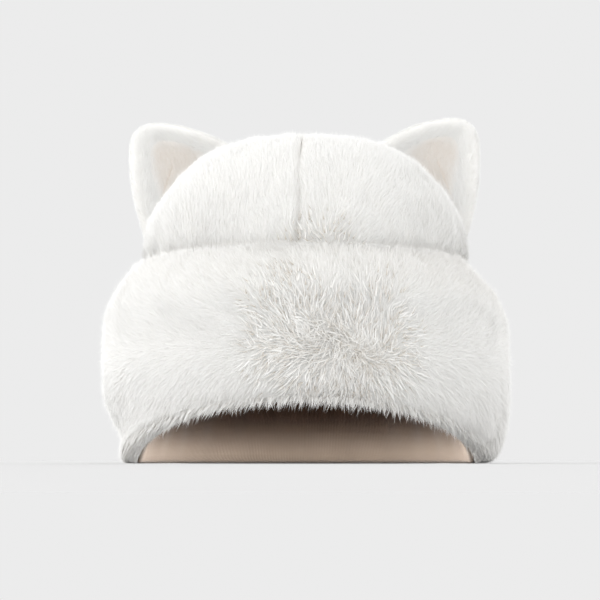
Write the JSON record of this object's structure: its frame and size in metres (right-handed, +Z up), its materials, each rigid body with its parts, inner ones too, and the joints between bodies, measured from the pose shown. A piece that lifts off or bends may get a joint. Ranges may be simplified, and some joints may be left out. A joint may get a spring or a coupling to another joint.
{
  "type": "cat ear hat",
  "caption": "Plush fur hat with a domed crown, a deep turned-up cuff, a cloth lining and a rounded padded ear on each side, worn over the head for warmth.",
  "frame": {"origin": "on the resting surface, under the middle of the rim", "axes": "+Z up through the crown, -Y towards the front seam, +X towards the wearer's left, which is the right of the picture"},
  "size_m": [0.2496, 0.2591, 0.2138],
  "materials": {
    "white_fur": "deep white faux fur pile, matt",
    "inner_ear_plush": "short beige plush, matt",
    "lining_cloth": "plain taupe knit, matt"
  },
  "bodies": {
    "root": {"lining": "lining_cloth", "crown_panel_left": "white_fur", "crown_panel_right": "white_fur", "cuff": "white_fur", "ear_left": "white_fur", "ear_right": "white_fur", "inner_ear_left": "inner_ear_plush", "inner_ear_right": "inner_ear_plush"}
  },
  "joints": []
}
